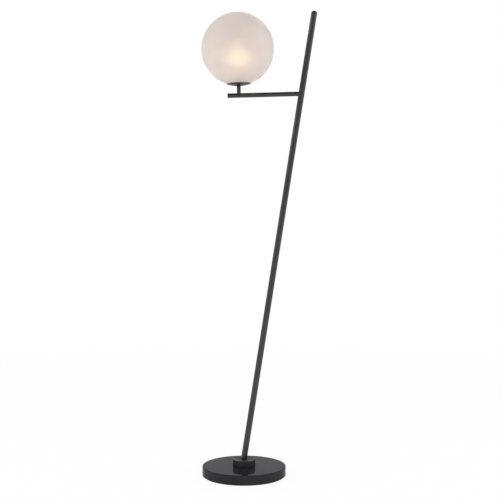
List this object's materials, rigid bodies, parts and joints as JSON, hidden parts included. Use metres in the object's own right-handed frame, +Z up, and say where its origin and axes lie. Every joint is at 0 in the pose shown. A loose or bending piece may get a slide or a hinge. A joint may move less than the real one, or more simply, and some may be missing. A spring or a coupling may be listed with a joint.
{
  "type": "floor lamp",
  "caption": "Floor lamp: round polished stone base, slim pole that leans to one side, short side arm, and an upright frosted glass globe lit from inside by a screw-in bulb.",
  "frame": {"origin": "centre of the felt under the base, on the floor", "axes": "+Z up, +X the way the pole leans, +Y to the back, where the mains cord goes in"},
  "size_m": [0.3827, 0.28, 1.5499],
  "materials": {
    "stone": "polished",
    "felt": "matte",
    "bronze_lacquer": "satin",
    "zinc_steel": "satin",
    "spring_steel": "satin",
    "silicone": "matte",
    "black_rubber": "matte",
    "terminal_nylon": "matte",
    "holder_white": "satin",
    "holder_ceramic": "matte",
    "contact_brass": "satin",
    "lead_sheath": "matte",
    "frosted_glass": "matte",
    "bulb_opal": "satin",
    "bulb_metal": "satin",
    "bulb_black": "gloss"
  },
  "bodies": {
    "stand": {"arm_anchor": "zinc_steel", "arm_bar": "bronze_lacquer", "arm_end_cap": "bronze_lacquer", "arm_nipple": "zinc_steel", "base_collar": "bronze_lacquer", "base_felt": "felt", "base_nipple": "zinc_steel", "base_nut": "zinc_steel", "base_slab": "stone", "base_washer": "zinc_steel", "cable_grommet": "black_rubber", "collar_set_screw": "zinc_steel", "gallery_dish": "bronze_lacquer", "gallery_nut": "zinc_steel", "gallery_washer": "zinc_steel", "globe_seat_ring": "silicone", "globe_spring": "spring_steel", "holder_cap": "holder_white", "holder_contact": "contact_brass", "holder_insert": "holder_ceramic", "holder_screws": "contact_brass", "holder_shell": "contact_brass", "holder_skirt": "holder_white", "pole_tip": "bronze_lacquer", "pole_tube": "bronze_lacquer", "stem_nipple": "zinc_steel", "stem_tube": "bronze_lacquer", "supply_lead": "lead_sheath", "terminal_block": "terminal_nylon"},
    "globe": {"globe_shade": "frosted_glass"},
    "bulb_screw": {"bulb_insulator": "bulb_black"},
    "bulb": {"bulb_envelope": "bulb_opal", "bulb_cap": "bulb_metal", "bulb_contact": "contact_brass"}
  },
  "joints": [
    {"name": "globe_lift", "type": "slide", "parent": "stand", "child": "globe", "axis": [-0.0262, 0, 0.9997], "range_m": [0, 0.13], "deforming": ["globe_spring"]},
    {"name": "bulb_rise", "type": "slide", "parent": "stand", "child": "bulb_screw", "axis": [-0.0262, 0, 0.9997], "range_m": [0, 0.0091]},
    {"name": "bulb_turn", "type": "hinge", "parent": "bulb_screw", "child": "bulb", "pos_m": [-0.01854, 0, 1.34223], "axis": [-0.0262, 0, 0.9997], "range_deg": [0, 900]}
  ],
  "couplings": [
    {"joint": "bulb_rise", "follows": "bulb_turn", "m_per_rad": 0.00057296}
  ]
}
